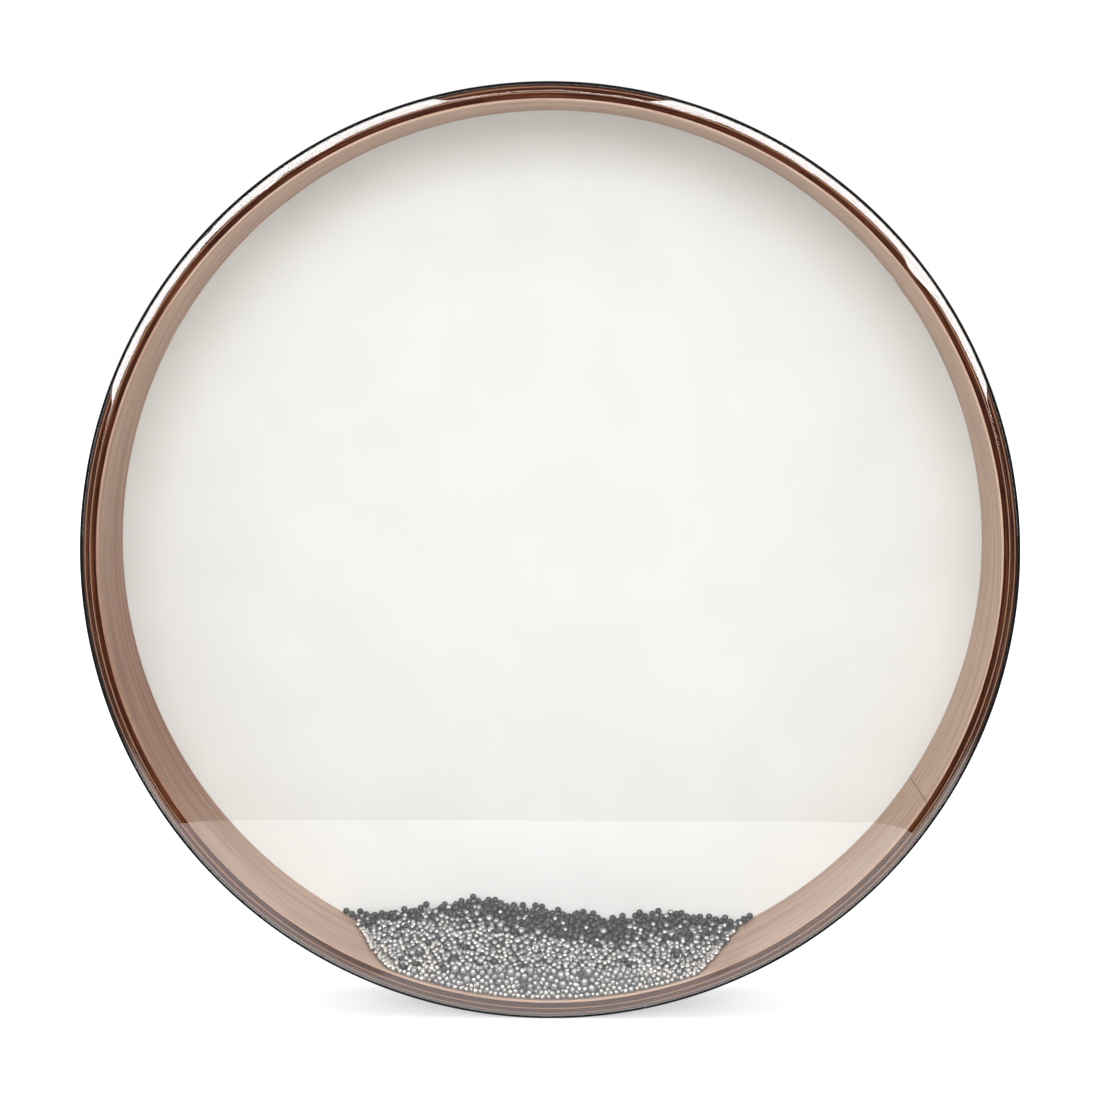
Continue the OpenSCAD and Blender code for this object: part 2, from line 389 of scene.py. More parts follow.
def band_plastic(shell):
    """Black satin plastic band: near black, with a faint even grain."""
    material, tree = new_material("Black satin plastic band")
    grain = speckle(tree, size=1.2 * MM, detail=2)
    surface(tree, {
        "Base Color": colour(shell.band),
        "Roughness": remap(tree, grain, 0.3, 0.7, 0.42, 0.55),
        "Specular IOR Level": 0.2,
        "Normal": bump(tree, grain, depth=0.01 * MM),
    })
    return material


def steel_beads(name, tint, roughness):
    """Loose steel beads, with a slight change of tone from bead to bead."""
    material, tree = new_material(name)
    patches = speckle(tree, size=3 * MM, detail=0)
    patch_tone = 0.73
    shaded = tuple(patch_tone * c for c in tint)
    base = mixed(tree, remap(tree, patches, 0.35, 0.65), tint, shaded)
    surface(tree, {"Base Color": base, "Metallic": 1.0, "Roughness": roughness})
    return material


def polished_steel(beads):
    """Tumbled and polished steel: mid grey, and a mirror that is a little soft."""
    return steel_beads("Polished steel beads", beads.steel, 0.42)


def pale_small_steel(beads):
    """Steel for the small beads: paler than the others, with the same soft mirror. Its faint warmth is a
    painted reflection of the wood lining.
    """
    return steel_beads("Paler small steel beads", beads.pale_small_tint, 0.42)


def blackened_steel(beads):
    """Oxide-blackened steel: dark grey with a soft sheen and a lighter edge."""
    return steel_beads("Oxide-blackened steel beads", beads.dark_steel, 0.45)


def finish_mesh(name, points, faces, uvs, material):
    """A smooth-shaded object from points, faces and a UV pair for each face corner, its faces outwards."""
    mesh = bpy.data.meshes.new(name)
    mesh.from_pydata(points, [], faces)
    layer = mesh.uv_layers.new(name="UVMap")
    layer.data.foreach_set("uv", np.asarray(uvs, np.float32).ravel())
    mesh.materials.append(material)
    if signed_volume(mesh) < 0:
        mesh.flip_normals()
    mesh.shade_smooth()
    mesh.set_sharp_from_angle(angle=SHARP_EDGE)
    piece = bpy.data.objects.new(name, mesh)
    bpy.context.scene.collection.objects.link(piece)
    return piece


def signed_volume(mesh):
    """Volume of a closed mesh, negative if its faces point inwards."""
    mesh.calc_loop_triangles()
    corners = np.empty(len(mesh.loop_triangles) * 3, np.int32)
    mesh.loop_triangles.foreach_get("vertices", corners)
    points = np.empty(len(mesh.vertices) * 3)
    mesh.vertices.foreach_get("co", points)
    a, b, c = points.reshape(-1, 3)[corners.reshape(-1, 3)].transpose(1, 0, 2)
    return float(np.einsum("ij,ij->i", a, np.cross(b, c)).sum() / 6)


def turned(name, sections, angles, lengths, closed_turn, material):
    """A surface turned round the drum's axis.

    sections holds one outline for each angle, as (radius, y) points. A full turn has outlines that start and
    end on the axis, and a part turn has closed outlines, whose two ends are capped.
    """
    count, rows = sections.shape[:2]
    radius, depth = sections[..., 0], sections[..., 1]
    points = np.stack([radius * np.cos(angles)[:, None], depth, radius * np.sin(angles)[:, None]], axis=-1)
    spans = count if closed_turn else count - 1
    wraps = rows - 1 if closed_turn else rows
    i, j = (a.ravel() for a in np.meshgrid(np.arange(spans), np.arange(wraps), indexing="ij"))
    next_i, next_j = (i + 1) % count, (j + 1) % rows
    faces = np.stack([i * rows + j, next_i * rows + j, next_i * rows + next_j, i * rows + next_j], axis=-1)
    round_length = np.append(angles, angles[0] + 2 * math.pi) * radius.max()
    along = np.append(lengths, lengths[-1] + np.hypot(*(sections[0, -1] - sections[0, 0])))
    u = np.stack([round_length[i], round_length[i + 1], round_length[i + 1], round_length[i]], axis=-1)
    v = np.stack([along[j], along[j], along[j + 1], along[j + 1]], axis=-1)
    uvs = np.stack([u, v], axis=-1).reshape(-1, 2).tolist()
    faces = faces.tolist()
    if not closed_turn:
        for end in (0, count - 1):
            faces.append([end * rows + k for k in (range(rows) if end else reversed(range(rows)))])
            uvs += [(0.0, 0.0)] * rows
    piece = finish_mesh(name, points.reshape(-1, 3).tolist(), faces, uvs, material)
    if closed_turn:
        close_poles(piece)
    return piece


def close_poles(piece):
    """Merges the points that lie on the drum's axis."""
    soup = bmesh.new()
    soup.from_mesh(piece.data)
    poles = [v for v in soup.verts if math.hypot(v.co.x, v.co.z) < SAME_PLACE]
    bmesh.ops.remove_doubles(soup, verts=poles, dist=SAME_PLACE)
    soup.to_mesh(piece.data)
    soup.free()


def outline_lengths(outline):
    """How far along an outline each of its points lies."""
    steps = np.hypot(*np.diff(outline, axis=0).T)
    return np.concatenate([[0], np.cumsum(steps)])


def edge_depth(radius):
    """Half depth of the wooden shell at a radius, on its flat edge or on the rounding."""
    over = max(0.0, radius - (OUTER[1] - EDGE_ROUND))
    return HALF_DEPTH - EDGE_ROUND + math.sqrt(max(EDGE_ROUND**2 - over**2, 0.0))


def ply_outline(inner, outer, points=9):
    """The cross-section of a ply between two radii, as a closed outline of (radius, y) points."""
    radii = np.linspace(inner, outer, points)
    front = [(r, -edge_depth(r)) for r in radii]
    back = [(r, edge_depth(r)) for r in radii[::-1]]
    return np.array(front + back)


def bent_ply(name, ring, seam, seam_place, steps, material):
    """One ply of the shell, bent to a ring with an open butt seam."""
    gap = seam / ring[0]
    start = seam_place + gap / 2
    angles = np.linspace(start, start + 2 * math.pi - gap, steps + 1)
    outline = ply_outline(ring[0], ring[1])
    lengths = outline_lengths(outline)
    return turned(name, np.repeat(outline[None], steps + 1, 0), angles, lengths, False, material)


# Waves round the drum in which the film's slope wanders: their number, share of the whole and shift
WAVES = ((9, 0.3, 0.0), (17, 0.25, 1.3), (31, 0.25, 4.1), (53, 0.12, 2.2), (83, 0.08, 5.0))
# Puckers in the drawn film: place in degrees, share of the largest, and degrees of its rise and fall
PUCKERS = ((38.6, 1.0, 3.2, 0.8), (56, 0.3, 3, 1.5), (127, 0.45, 1.2, 3), (149, 0.3, 2, 1))


def wander(angles, phase):
    """A smooth curve round the drum between about -1 and 1."""
    return sum(share * np.sin(count * angles + shift + phase) for count, share, shift in WAVES)


def puckers(angles, shell):
    """How far the bevel reaches in over the flat face round the drum: more on the upper half, and most at a
    few puckers in the drawn film."""
    lower_share, mean, swing, phase = 0.3, 0.35, 0.25, 2
    upper = np.clip(0.5 + 2 * np.sin(angles), lower_share, 1)
    reach = upper * (mean + swing * wander(angles, phase))
    for place, share, rise, fall in PUCKERS:
        away = np.degrees(angles) - place
        reach += share * np.exp(-((away / np.where(away < 0, rise, fall)) ** 2))
    return shell.pucker * reach


def rounded_corner(corner, before, after, reach, points):
    """Points of a soft corner: a quadratic curve between two places at a reach from the corner."""
    shares = np.linspace(0, 1, points)[:, None]
    start, end = corner + reach * before, corner + reach * after
    return (1 - shares) ** 2 * start + 2 * shares * (1 - shares) * corner + shares**2 * end


def film_outline(bevel, pucker, thickness):
    """A drawn head's cross-section for one slope of its bevel and one reach of its pucker: the flat disc,
    the bevel over the shell's edge and the skirt, out from the axis and back again on the inner face."""
    slack, ridge_lead = 0.06 * MM, 0.5 * MM
    ridge_round, side_round = 0.25 * MM, 0.7 * MM
    swell_place, swell_share = 0.96, 0.2
    reach, face, end = HEAD[1], HEAD[2], SKIRT_END
    wood = np.array([OUTER[1] - EDGE_ROUND, HALF_DEPTH - EDGE_ROUND])
    clear = EDGE_ROUND + thickness + slack
    start = wood[0] + (wood[1] + clear / math.cos(bevel) - face) / math.tan(bevel)
    low = face - math.tan(bevel) * (reach - start)
    slope = np.array([math.cos(bevel), -math.sin(bevel)])
    side = np.array([0.0, -1.0])
    ridge = np.array([start - pucker, face + math.tan(bevel) * pucker])
    swell = np.array([swell_place * reach, face + swell_share * math.tan(bevel) * pucker])
    rise = (ridge - swell) / np.linalg.norm(ridge - swell)
    first = rounded_corner(ridge, -rise, slope, ridge_round, points=6)
    second = rounded_corner(np.array([reach, low]), -slope, side, side_round, points=7)
    disc = [(0.0, face), (0.5 * reach, face), (0.9 * reach, face), swell, ridge - ridge_lead * rise]
    skirt = [(reach, (low + end) / 2), (reach, end)]
    outer = np.concatenate([disc, first, second, skirt])
    along = np.gradient(outer, axis=0)
    normal = np.stack([along[:, 1], -along[:, 0]], axis=-1)
    normal /= np.linalg.norm(normal, axis=1)[:, None]
    normal[-1], normal[: len(disc)] = (-1, 0), (0, -1)
    inner = outer + thickness * normal
    return np.concatenate([outer, inner[::-1]])


def film_head(name, side, shell, material):
    """A drawn film head on one side of the drum, -1 for the front and 1 for the back."""
    steps = shell.ring_steps
    angles = np.arange(steps) * 2 * math.pi / steps
    bevels = shell.bevel + shell.bevel_wave * wander(angles, side)
    sections = np.array([film_outline(b, p, shell.film) for b, p in zip(bevels, puckers(angles, shell))])
    sections[..., 1] *= side
    return turned(name, sections, angles, outline_lengths(sections[0]), True, material)


def dress(piece, body, slot, *nodes):
    """Lets a finished piece stand for CAD nodes on a body. The slot for its finish is not used."""
    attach(piece, body)
    if nodes:
        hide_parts(*nodes)


def tree_with(name, inputs):
    """A new Geometry Nodes tree with a geometry input, named inputs and a geometry output."""
    tree = bpy.data.node_groups.new(name, "GeometryNodeTree")
    tree.interface.new_socket("Geometry", in_out="OUTPUT", socket_type="NodeSocketGeometry")
    tree.interface.new_socket("Geometry", in_out="INPUT", socket_type="NodeSocketGeometry")
    for label, kind in inputs:
        tree.interface.new_socket(label, in_out="INPUT", socket_type=kind)
    return tree, add(tree, "NodeGroupInput").outputs


def grown(name, points, tree, values, edges=()):
    """The plain mesh that a Geometry Nodes tree makes from points, with the tree's inputs set by name."""
    seed_mesh = bpy.data.meshes.new(name + "_points")
    seed_mesh.from_pydata(points, edges, [])
    maker = bpy.data.objects.new(name + "_points", seed_mesh)
    bpy.context.scene.collection.objects.link(maker)
    modifier = maker.modifiers.new(tree.name, "NODES")
    modifier.node_group = tree
    for item in tree.interface.items_tree:
        if item.in_out == "INPUT" and item.name in values:
            modifier[item.identifier] = values[item.name]
    bpy.context.view_layer.update()
    shown = maker.evaluated_get(bpy.context.evaluated_depsgraph_get())
    mesh = bpy.data.meshes.new_from_object(shown)
    mesh.name = name
    maker.modifiers.remove(modifier)
    bpy.data.objects.remove(maker)
    piece = bpy.data.objects.new(name, mesh)
    bpy.context.scene.collection.objects.link(piece)
    return piece


def bead_tree():
    """Puts one faceted ball on each point, turned at random, and smooths its shading."""
    tree, given = tree_with("Beads on points", [
        ("Diameter", "NodeSocketFloat"), ("Seed", "NodeSocketInt"), ("Material", "NodeSocketMaterial"),
    ])
    radius = add(
        tree, "ShaderNodeMath", {"operation": "MULTIPLY"}, {0: given["Diameter"], 1: BALL_SHARE}
    )
    ball = add(tree, "GeometryNodeMeshIcoSphere", {}, {"Radius": radius.outputs[0], "Subdivisions": 2})
    turn = add(
        tree, "FunctionNodeRandomValue", {"data_type": "FLOAT_VECTOR"},
        {0: (0, 0, 0), 1: (2 * math.pi,) * 3, "Seed": given["Seed"]},
    )
    placed = add(
        tree, "GeometryNodeInstanceOnPoints", {},
        {"Points": given["Geometry"], "Instance": ball.outputs["Mesh"], "Rotation": turn.outputs[0]},
    )
    real = add(tree, "GeometryNodeRealizeInstances", {}, {"Geometry": placed.outputs[0]})
    smooth = add(tree, "GeometryNodeSetShadeSmooth", {}, {"Geometry": real.outputs[0]})
    dressed = add(
        tree, "GeometryNodeSetMaterial", {}, {"Geometry": smooth.outputs[0], "Material": given["Material"]}
    )
    add(tree, "NodeGroupOutput", {}, {0: dressed.outputs[0]})
    return tree


def band_tree():
    """Runs the object's own outline round the drum's axis, from one side of the butt seam to the other."""
    tree, given = tree_with("Band round the shell", [
        ("Radius", "NodeSocketFloat"), ("Start angle", "NodeSocketFloat"), ("Sweep", "NodeSocketFloat"),
        ("Steps", "NodeSocketInt"), ("Material", "NodeSocketMaterial"),
    ])
    path = add(tree, "GeometryNodeCurveArc", {"mode": "RADIUS"}, {
        "Resolution": given["Steps"], "Radius": given["Radius"],
        "Start Angle": given["Start angle"], "Sweep Angle": given["Sweep"],
    })
    upright = add(
        tree, "GeometryNodeSetCurveNormal", {"mode": "Z_UP"}, {"Curve": path.outputs["Curve"]}
    )
    outline = add(tree, "GeometryNodeMeshToCurve", {}, {0: given["Geometry"]})
    swept = add(tree, "GeometryNodeCurveToMesh", {}, {
        "Curve": upright.outputs[0], "Profile Curve": outline.outputs[0], "Fill Caps": True,
    })
    stood = add(
        tree, "GeometryNodeTransform", {},
        {"Geometry": swept.outputs[0], "Rotation": (math.pi / 2, 0, 0)},
    )
    real = add(tree, "GeometryNodeRealizeInstances", {}, {"Geometry": stood.outputs[0]})
    dressed = add(
        tree, "GeometryNodeSetMaterial", {}, {"Geometry": real.outputs[0], "Material": given["Material"]}
    )
    add(tree, "NodeGroupOutput", {}, {0: dressed.outputs[0]})
    return tree


class HEAP:
    """How the beads lie, in millimetres and in shares of the beads"""

    shell = LINING[0] / MM
    front = -HALF_DEPTH / MM
    back = HALF_DEPTH / MM
    clearance = 0.05
    # The grid on which the heap's height is followed: its half width, its distance from the heads, its step
    half_width, edge, cell = 100, 1.5, 2.0
    # Places of the bumps on the skyline, right of the middle, with their height and half width
    bumps = ((-33, 6.2, 24), (-2, 1.0, 9), (31, -1.8, 10), (50, 0.8, 8), (80, -1.0, 12), (-92, -2.2, 12))
    # How much the surface falls for each millimetre to the right
    side_fall = 0.015
    # How near to the back head the surface is raised, and over what depth it rises there
    stack_depth = 3
    stack_slope = 1.5
    # A place this much under the surface is still open, and a bead may stand this much over it
    tolerance = 0.9
    # Shares of small and large beads in the heap, and in the layer that lies on the shell
    small_share, large_share = 0.27, 0.28
    small_on_shell, large_on_shell = 0.85, 0.03
    # Height of that layer next to the clear head, up to what share of the depth, and its height elsewhere
    front_layer, front_layer_end, layer = 6, 0.15, 1
    # Beads that are dropped on the finished heap near the back head: their number and where they fall
    proud = 44
    proud_half_width = 88
    proud_y = (24, back - 2)
    # The wave's beads: their middle, how far aside, between which depths and how near to the surface
    wave_middle = -4
    wave_half_width = 50
    wave_y = (-17, 17)
    wave_depth = 1.8
    # How near to the clear head a bead is kept at any height, and how near it belongs to the front row
    seen_depth = 5
    front_row = 1.5


class DARK:
    """How the blackened beads are spread, in millimetres aside, and in shares of the depth and the beads"""

    middle, half_width = 10, 44
    # Where their share starts to rise, how much later it does so at the left and right, and over what depth
    start, later_left, later_right = 0.36, 0.2, 0.04
    rise, rise_aside = 0.3, 0.1
    # Their share at the clear head, what it gains towards the back, and how much less at the sides
    front, gain, less_aside = 0.08, 0.88, 0.34
    # Their share against the back head, and where it rises to that
    back, back_start, back_rise = 0.97, 0.86, 0.06


def back_share(y):
    """How far back a place lies, from 0 at the clear head to 1 at the back head."""
    return (y - HEAP.front) / (HEAP.back - HEAP.front)


def heap_height(x, y, beads):
    """Height of the heap's surface, in millimetres in the drum's frame."""
    low, high = beads.front_height / MM, beads.back_height / MM
    share = back_share(y)
    hills = sum(h * np.exp(-(((x - place) / width) ** 2)) for place, h, width in HEAP.bumps)
    stack = beads.back_stack / MM * np.clip((y - HEAP.back + HEAP.stack_depth) / HEAP.stack_slope, 0, 1)
    return -HEAP.shell + low + (high - low) * share - HEAP.side_fall * x + hills * share + stack


def dark_share(x, y):
    """Share of blackened beads at a place: few at the clear head and more towards the back, later and less
    at the sides, and nearly all against the back head."""
    side = 1 - np.exp(-(((x - DARK.middle) / DARK.half_width) ** 2))
    start = DARK.start + np.where(x < DARK.middle, DARK.later_left, DARK.later_right) * side
    way = np.clip((back_share(y) - start) / (DARK.rise + DARK.rise_aside * side), 0, 1)
    spread = DARK.front + (DARK.gain - DARK.less_aside * side) * way * way * (3 - 2 * way)
    leaning = DARK.back * np.clip((back_share(y) - DARK.back_start) / DARK.back_rise, 0, 1)
    return np.maximum(spread, leaning)


class BeadPile:
    """Beads laid one by one, each where it rests on those before it, and on the shell and the heads."""

    # Width of a cell in which neighbours are looked for, and how far under a new bead they are forgotten
    cell, forgotten_depth = 4.4, 9
    # First and last step of a roll, its length between two searches for neighbours, and a step's least fall
    first_step, last_step, searched, least_fall = 0.9, 0.02, 2, 1e-4

    def __init__(self):
        self.places, self.radii, self.cells = [], [], {}

    def near(self, x, y):
        """Places and radii of the upper beads round a spot."""
        column, row = int(x // self.cell), int(y // self.cell)
        found = [
            k
            for i in (-1, 0, 1)
            for j in (-1, 0, 1)
            for k in self.cells.get((column + i, row + j), ())
        ]
        if not found:
            return np.zeros((0, 3)), np.zeros(0)
        return np.array([self.places[k] for k in found]), np.array([self.radii[k] for k in found])

    def add(self, place, radius):
        """Keeps a bead, and forgets those that lie well under it."""
        key = (int(place[0] // self.cell), int(place[1] // self.cell))
        floor = place[2] - self.forgotten_depth
        kept = [k for k in self.cells.get(key, ()) if self.places[k][2] > floor]
        self.cells[key] = [*kept, len(self.places)]
        self.places.append(place)
        self.radii.append(radius)

    def resting_height(self, x, y, radius, near, near_radii):
        """How high a bead's middle lies at each of some spots, on the beads and the shell below."""
        wall = -np.sqrt(np.maximum((HEAP.shell - HEAP.clearance - radius) ** 2 - x**2, 0))
        if not len(near):
            return wall
        apart = (x[:, None] - near[:, 0]) ** 2 + (y[:, None] - near[:, 1]) ** 2
        reach = (radius + near_radii) ** 2 - apart
        tops = np.where(reach > 0, near[:, 2] + np.sqrt(np.maximum(reach, 0)), -np.inf)
        return np.maximum(tops.max(1), wall)

    def roll(self, x, y, radius):
        """Drops a bead at a spot and lets it roll to the nearest hollow."""
        turns = np.arange(8) * math.pi / 4
        ways = np.stack([np.cos(turns), np.sin(turns)])
        low, high = HEAP.front + radius + HEAP.clearance, HEAP.back - radius - HEAP.clearance
        y = min(max(y, low), high)
        near, near_radii = self.near(x, y)
        origin = (x, y)
        height = self.resting_height(np.array([x]), np.array([y]), radius, near, near_radii)[0]
        step = self.first_step
        while step > self.last_step:
            if abs(x - origin[0]) + abs(y - origin[1]) > self.searched:
                near, near_radii = self.near(x, y)
                origin = (x, y)
            spots_x = x + step * ways[0]
            spots_y = np.clip(y + step * ways[1], low, high)
            heights = self.resting_height(spots_x, spots_y, radius, near, near_radii)
            best = int(heights.argmin())
            if heights[best] < height - self.least_fall:
                x, y, height = spots_x[best], spots_y[best], heights[best]
            else:
                step /= 2
        return np.array([x, y, height])


def pour(beads):
    """Fills the bottom of the drum up to the heap's surface. Returns places and radii in millimetres."""
    draw = np.random.default_rng(beads.seed)
    pile = BeadPile()
    step = HEAP.cell
    xs = np.arange(-HEAP.half_width, HEAP.half_width, step) + step / 2
    ys = np.arange(HEAP.front + HEAP.edge, HEAP.back - HEAP.edge + step / 10, step)
    grid_x, grid_y = np.meshgrid(xs, ys, indexing="ij")
    target = heap_height(grid_x, grid_y, beads)
    top = -np.sqrt(HEAP.shell**2 - grid_x**2)
    # How much chance picks the next cell, how far past its side a bead covers cells, and the square of the
    # least height over its middle that it gives them
    chance, cover_border, cover_least = 2.5, 0.4, 0.1
    while True:
        lack = target - top
        open_cells = lack > HEAP.tolerance
        if not open_cells.any():
            break
        wanted = np.where(open_cells, lack + draw.uniform(0, chance, lack.shape), -1)
        i, j = np.unravel_index(int(wanted.argmax()), wanted.shape)
        x = grid_x[i, j] + draw.uniform(-step / 2, step / 2)
        y = grid_y[i, j] + draw.uniform(-step / 2, step / 2)
        darker = dark_share(x, y)
        pick = draw.random()
        above_shell = top[i, j] + math.sqrt(HEAP.shell**2 - x**2)
        layer = HEAP.front_layer if back_share(y) < HEAP.front_layer_end else HEAP.layer
        on_shell = above_shell < layer
        small = (HEAP.small_on_shell if on_shell else HEAP.small_share) * (1 - darker)
        large = HEAP.large_on_shell if on_shell else HEAP.large_share * (1 - darker)
        size = beads.small if pick < small else beads.large if pick > 1 - large else beads.medium
        radius = size / MM / 2
        place = pile.roll(x, y, radius)
        rise = place[2] + radius - float(heap_height(place[0], place[1], beads))
        if rise > HEAP.tolerance:
            top[i, j] = target[i, j]
            continue
        pile.add(place, radius)
        apart = np.hypot(grid_x - place[0], grid_y - place[1])
        under = apart < radius + cover_border
        cover = np.sqrt(np.maximum(radius**2 - apart[under] ** 2, cover_least))
        top[under] = np.maximum(top[under], place[2] + cover)
    side, count = HEAP.proud_half_width, HEAP.proud
    for x, y in zip(draw.uniform(-side, side, count), draw.uniform(*HEAP.proud_y, count)):
        radius = beads.medium / MM / 2
        pile.add(pile.roll(x, y, radius), radius)
    return np.array(pile.places), np.array(pile.radii)


def outer_beads(places, radii, beads):
    """Which beads are near the heap's surface or the clear head, so that they can be seen."""
    depth = heap_height(places[:, 0], places[:, 1], beads) - places[:, 2] - radii
    from_head = places[:, 1] - radii - HEAP.front
    return (depth < beads.kept_depth / MM) | (from_head < HEAP.seen_depth)


def wave_beads(places, radii, beads):
    """Which beads make up the wave: those on top in the middle of the heap, with no other bead over them."""
    depth = heap_height(places[:, 0], places[:, 1], beads) - places[:, 2] - radii
    low, high = HEAP.wave_y
    wave = (
        (depth < HEAP.wave_depth)
        & (np.abs(places[:, 0] - HEAP.wave_middle) < HEAP.wave_half_width)
        & (places[:, 1] > low)
        & (places[:, 1] < high)
    )
    apart = np.hypot(places[:, None, 0] - places[:, 0], places[:, None, 1] - places[:, 1])
    over = (apart < radii[:, None] + radii) & (places[:, 2] > places[:, None, 2])
    while True:
        stuck = wave & (over & ~wave[None]).any(1)
        if not stuck.any():
            return wave
        wave &= ~stuck


class DRUM_OT_bend_plies(Operator):
    """Builds the four plies of the shell and the glue lines between them"""

    bl_idname = "drum.bend_plies"
    bl_label = "Bend the plies"

    def execute(self, context):
        shell = context.scene.drum_shell
        steps = shell.ring_steps
        wood, lining = stained_plywood(shell), lining_veneer(shell)
        for turn, (name, node, ring, seam, material, slot) in enumerate((
            ("lining_veneer", "inner_ply", LINING, shell.lining_seam, lining, "pale_veneer"),
            ("third_stained_ply", "third_ply", THIRD, shell.ply_seam, wood, "stained_ply"),
            ("second_stained_ply", "second_ply", SECOND, shell.ply_seam, wood, "stained_ply"),
            ("outer_stained_ply", "outer_ply", OUTER, shell.ply_seam, wood, "stained_ply"),
        )):
            place = shell.seam_place + turn * shell.seam_turn
            dress(bent_ply(name, ring, seam, place, steps, material), "drum", slot, node)
        glue = glue_line(shell)
        for name, inner, outer in (
            ("lining_glue_line", LINING, THIRD),
            ("middle_glue_line", THIRD, SECOND),
            ("outer_glue_line", SECOND, OUTER),
        ):
            line = bent_ply(name, (inner[1], outer[0]), shell.glue_seam, 0.0, steps, glue)
            dress(line, "drum", "pale_veneer")
        return {"FINISHED"}


class DRUM_OT_draw_heads(Operator):
    """Builds the clear head and the coated head"""

    bl_idname = "drum.draw_heads"
    bl_label = "Draw the heads"

    def execute(self, context):
        shell = context.scene.drum_shell
        dress(film_head("clear_head", -1, shell, clear_film()), "drum", "clear_film", "front_head")
        dress(film_head("coated_head", 1, shell, coated_film(shell)), "drum", "coated_film", "back_head")
        return {"FINISHED"}


class DRUM_OT_wrap_band(Operator):
    """Builds the black band round the shell"""

    bl_idname = "drum.wrap_band"
    bl_label = "Wrap the band"

    def execute(self, context):
        shell = context.scene.drum_shell
        outer, half = BAND[1:]
        seat, ease = HEAD[1] + shell.band_gap, shell.band_ease
        outline = [
            (seat, -half), (outer - ease, -half), (outer, -half + ease),
            (outer, half - ease), (outer - ease, half), (seat, half),
        ]
        gap = shell.band_seam / outer
        points = [(r - outer, h, 0) for r, h in outline]
        edges = [(k, (k + 1) % len(points)) for k in range(len(points))]
        band = grown("black_edge_band", points, band_tree(), {
            "Radius": outer, "Start angle": shell.band_seam_place + gap / 2, "Sweep": 2 * math.pi - gap,
            "Steps": shell.ring_steps, "Material": band_plastic(shell),
        }, edges)
        dress(band, "drum", "black_band", "edge_band")
        return {"FINISHED"}


class DRUM_OT_pour_beads(Operator):
    """Pours the heap of beads and builds those of it that can be seen"""

    bl_idname = "drum.pour_beads"
    bl_label = "Pour the beads"

    def execute(self, context):
        beads = context.scene.drum_beads
        places, radii = pour(beads)
        kept = outer_beads(places, radii, beads)
        places, radii = places[kept], radii[kept]
        wave = wave_beads(places, radii, beads)
        front = ~wave & (places[:, 1] - radii - HEAP.front < HEAP.front_row)
        shades = np.random.default_rng(beads.seed + 1).random(len(radii))
        sizes = {name: getattr(beads, name) / MM / 2 for name in ("small", "medium", "large")}
        dark = (radii == sizes["medium"]) & (shades < dark_share(places[:, 0], places[:, 1]))
        tree, bright = bead_tree(), polished_steel(beads)
        finishes = {
            "small": pale_small_steel(beads), "medium": bright, "large": bright, "dark": blackened_steel(beads)
        }
        for group, chosen, body in (
            ("front", front, "bead_bed"), ("bed", ~front & ~wave, "bead_bed"), ("wave", wave, "bead_wave"),
        ):
            for size, finish in finishes.items():
                is_dark = size == "dark"
                radius = sizes["medium" if is_dark else size]
                pick = chosen & (radii == radius) & (dark == is_dark)
                piece = grown(f"{group}_{size}_steel_beads", (places[pick] * MM).tolist(), tree, {
                    "Diameter": 2 * radius * MM, "Seed": beads.seed, "Material": finish,
                })
                slot = "dark_steel" if is_dark else "bead_steel"
                dress(piece, body, slot, f"{group}_{size}_beads")
        return {"FINISHED"}


def mirrored_ray(tree, path):
    """1 for a ray that a surface mirrored or bent, and 0 for the others."""
    return mathed(tree, "MAXIMUM", path.outputs["Is Glossy Ray"], path.outputs["Is Transmission Ray"])


def within(tree, value, low, high, soft):
    """1 between two values, falling to 0 over a soft border outside them."""
    rise = remap(tree, value, low - soft, low)
    fall = remap(tree, value, high, high + soft, 1.0, 0.0)
    return mathed(tree, "MULTIPLY", rise, fall)


class VEIL:
    """The part of the table that is dimmed in reflections by a painted shade, in metres on it, with sides
    that slant outwards towards the camera"""

    middle = -0.0084
    # Half width at the drum, where the dim part ends and where the bright one starts, and the sides' slant
    sides, slant = (0.043, 0.055), 0.302
    # Where it ends towards the drum
    rear = (-0.14, -0.11)
    # Half width beyond which the whole table fades, over what width, and to what share
    half_width, fade, faint = 0.3, 0.15, 0.1


